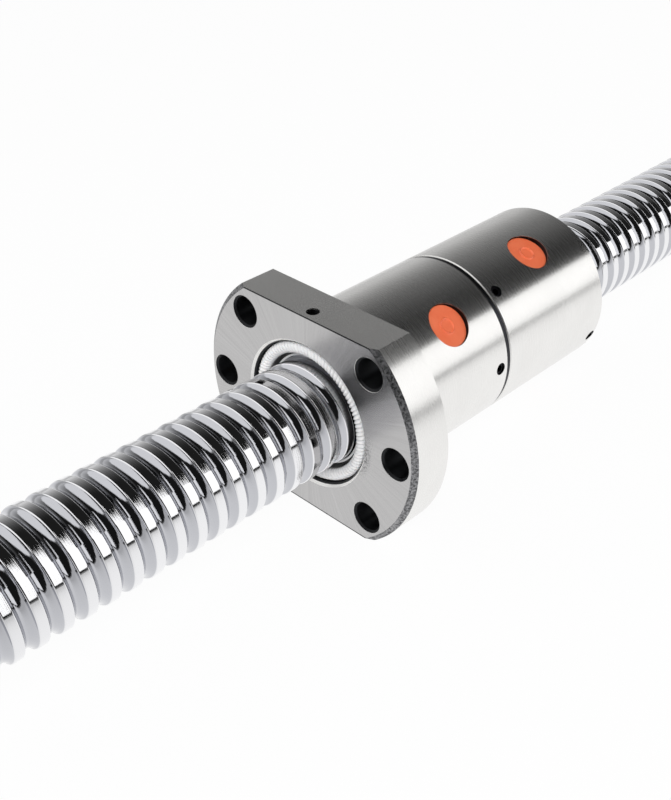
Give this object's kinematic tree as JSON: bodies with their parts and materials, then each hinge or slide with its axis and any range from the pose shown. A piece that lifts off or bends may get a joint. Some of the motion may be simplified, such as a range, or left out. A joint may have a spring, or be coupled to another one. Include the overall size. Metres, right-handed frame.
{
  "type": "double ball nut",
  "caption": "Flanged double ball nut on its ball screw: two ball-filled nuts locked end to end turn the screw's rotation into travel.",
  "frame": {"origin": "centre of the flange's mounting face, on the screw's axis", "axes": "+X along the screw from the flange towards the rear nut, +Z out of the flange's top flat"},
  "size_m": [0.28, 0.062, 0.048],
  "materials": {
    "screw_steel": "polished ground steel",
    "nut_steel": "ground satin steel",
    "spacer_steel": "turned steel",
    "ball_steel": "polished",
    "set_screw_steel": "blackened",
    "cap_plastic": "moulded orange-red plastic",
    "wiper_plastic": "white moulded plastic"
  },
  "bodies": {
    "nut": {"flange_nut": "nut_steel", "rear_nut": "nut_steel", "spacer_ring": "spacer_steel", "front_wiper": "wiper_plastic", "rear_wiper": "wiper_plastic", "return_cap_front_1": "cap_plastic", "return_cap_front_2": "cap_plastic", "return_cap_front_3": "cap_plastic", "return_cap_rear_1": "cap_plastic", "return_cap_rear_2": "cap_plastic", "return_cap_rear_3": "cap_plastic", "wiper_set_screws": "set_screw_steel", "joint_set_screws": "set_screw_steel"},
    "balls": {"balls_front_1": "ball_steel", "balls_front_2": "ball_steel", "balls_front_3": "ball_steel", "balls_rear_1": "ball_steel", "balls_rear_2": "ball_steel", "balls_rear_3": "ball_steel"},
    "screw": {"screw_shaft": "screw_steel"}
  },
  "joints": [
    {"name": "screw_turn", "type": "hinge", "parent": "nut", "child": "balls", "pos_m": [0, 0, 0], "axis": [1, 0, 0], "range_deg": [-6480, 6480], "deforming": ["balls_front_1", "balls_front_2", "balls_front_3", "balls_rear_1", "balls_rear_2", "balls_rear_3"]},
    {"name": "screw_travel", "type": "slide", "parent": "balls", "child": "screw", "axis": [1, 0, 0], "range_m": [-0.09, 0.09]}
  ],
  "couplings": [
    {"joint": "screw_travel", "follows": "screw_turn", "m_per_rad": 0.00079577}
  ]
}
